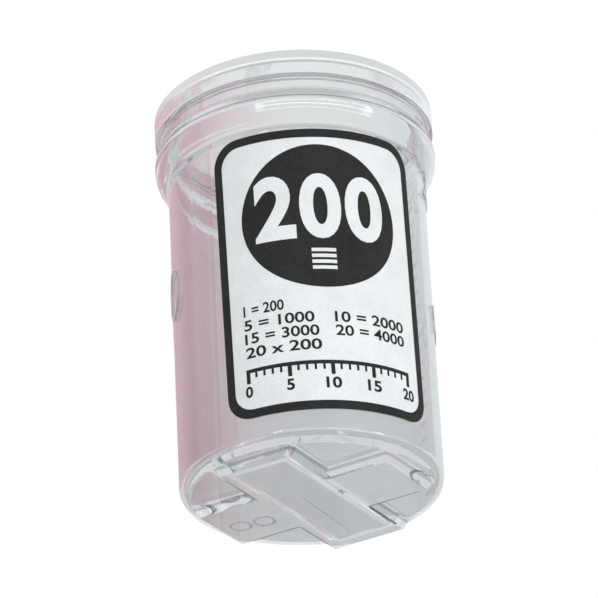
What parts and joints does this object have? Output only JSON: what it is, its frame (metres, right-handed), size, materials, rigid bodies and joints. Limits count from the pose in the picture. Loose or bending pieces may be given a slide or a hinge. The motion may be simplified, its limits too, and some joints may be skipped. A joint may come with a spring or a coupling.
{
  "type": "coin tube",
  "caption": "Clear round moulded tube for a stack of coins, with a bead collar, a press-on cap that lifts straight off, a cross foot and a wrapped label with rounded corners.",
  "frame": {"origin": "middle of the plane that the cross foot stands on", "axes": "+Z along the tube's axis towards the cap, -Y out of the middle of the label"},
  "size_m": [0.032, 0.032, 0.0486],
  "materials": {
    "clear_tube": "clear moulded plastic, faintly grey",
    "clear_cap": "clear moulded plastic, faintly grey",
    "label_paper": "white printed sticker with a black border"
  },
  "bodies": {
    "tube": {"tube": "clear_tube", "label": "label_paper"},
    "cap": {"cap": "clear_cap"}
  },
  "joints": [
    {"name": "cap_lift", "type": "slide", "parent": "tube", "child": "cap", "axis": [0, 0, 1], "range_m": [0, 0.04]}
  ]
}
